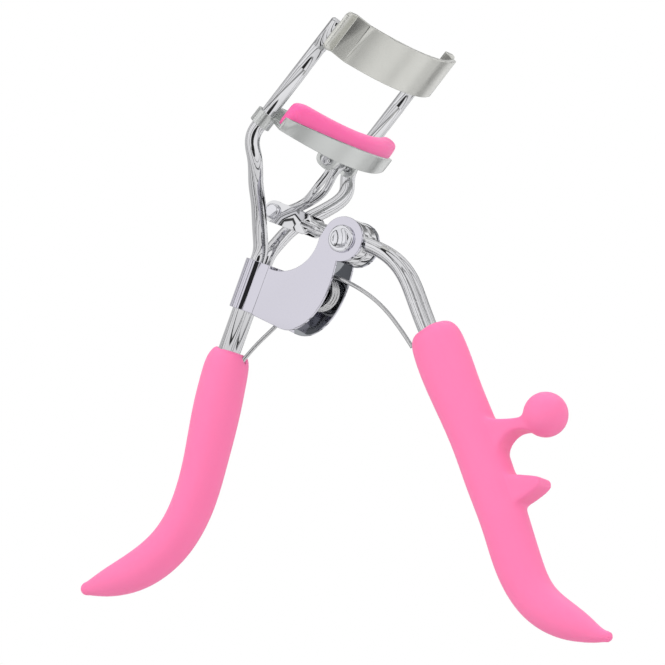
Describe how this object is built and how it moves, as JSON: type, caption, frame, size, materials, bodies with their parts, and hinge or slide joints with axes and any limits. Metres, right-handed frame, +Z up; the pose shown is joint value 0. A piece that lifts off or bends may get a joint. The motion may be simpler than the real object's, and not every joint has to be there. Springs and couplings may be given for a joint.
{
  "type": "eyelash curler",
  "caption": "Scissor-action eyelash curler: curved jaws on two guide rods, silicone pad, sprung lever and two grips, one with a ball and finger hook.",
  "frame": {"origin": "on the main rivet's axis, midway across the tool's width, with the tool fully open", "axes": "+Y along the rivet, across the jaws, away from the viewer who has the hooked grip on the right; +X from the plain grip towards the hooked grip; +Z up, from the grips towards the jaws"},
  "size_m": [0.107, 0.0406, 0.1139],
  "materials": {
    "frame_chrome": "polished chrome plate",
    "lever_chrome": "polished chrome plate",
    "sheet_chrome": "polished chrome plate",
    "plate_chrome": "polished chrome plate",
    "jaw_chrome": "polished chrome plate",
    "rivet_chrome": "polished chrome plate",
    "wire_chrome": "polished chrome plate",
    "spring_wire": "bright drawn spring wire",
    "left_grip": "satin pink moulding",
    "right_grip": "satin pink moulding",
    "pad_silicone": "soft matte silicone"
  },
  "bodies": {
    "frame": {"frame_rod_near": "frame_chrome", "frame_rod_far": "frame_chrome", "saddle_bracket": "sheet_chrome", "main_rivet": "rivet_chrome", "upper_jaw_plate": "plate_chrome", "left_handle": "left_grip", "torsion_spring": "spring_wire"},
    "lever": {"lever_rod_near": "lever_chrome", "lever_rod_far": "lever_chrome", "link_pin": "rivet_chrome", "right_handle": "right_grip"},
    "pusher_link": {"pusher_wire_near": "wire_chrome", "pusher_wire_far": "wire_chrome"},
    "lower_jaw": {"lower_jaw_channel": "jaw_chrome", "jaw_lug_near": "jaw_chrome", "jaw_lug_far": "jaw_chrome", "lash_pad": "pad_silicone"}
  },
  "joints": [
    {"name": "handle_squeeze", "type": "hinge", "parent": "frame", "child": "lever", "pos_m": [0, 0, 0], "axis": [0, 1, 0], "range_deg": [0, 38.2], "deforming": ["torsion_spring"]},
    {"name": "link_pivot", "type": "hinge", "parent": "lever", "child": "pusher_link", "pos_m": [-0.01437, 0, 0.00658], "axis": [0, 1, 0], "range_deg": [-39, 0.5]},
    {"name": "jaw_slide", "type": "slide", "parent": "frame", "child": "lower_jaw", "axis": [0.682, 0, 0.7314], "range_m": [0, 0.0105]}
  ],
  "couplings": [
    {"joint": "link_pivot", "follows": "handle_squeeze", "ratio": -1},
    {"joint": "jaw_slide", "follows": "handle_squeeze", "m_per_rad": 0.015509}
  ]
}
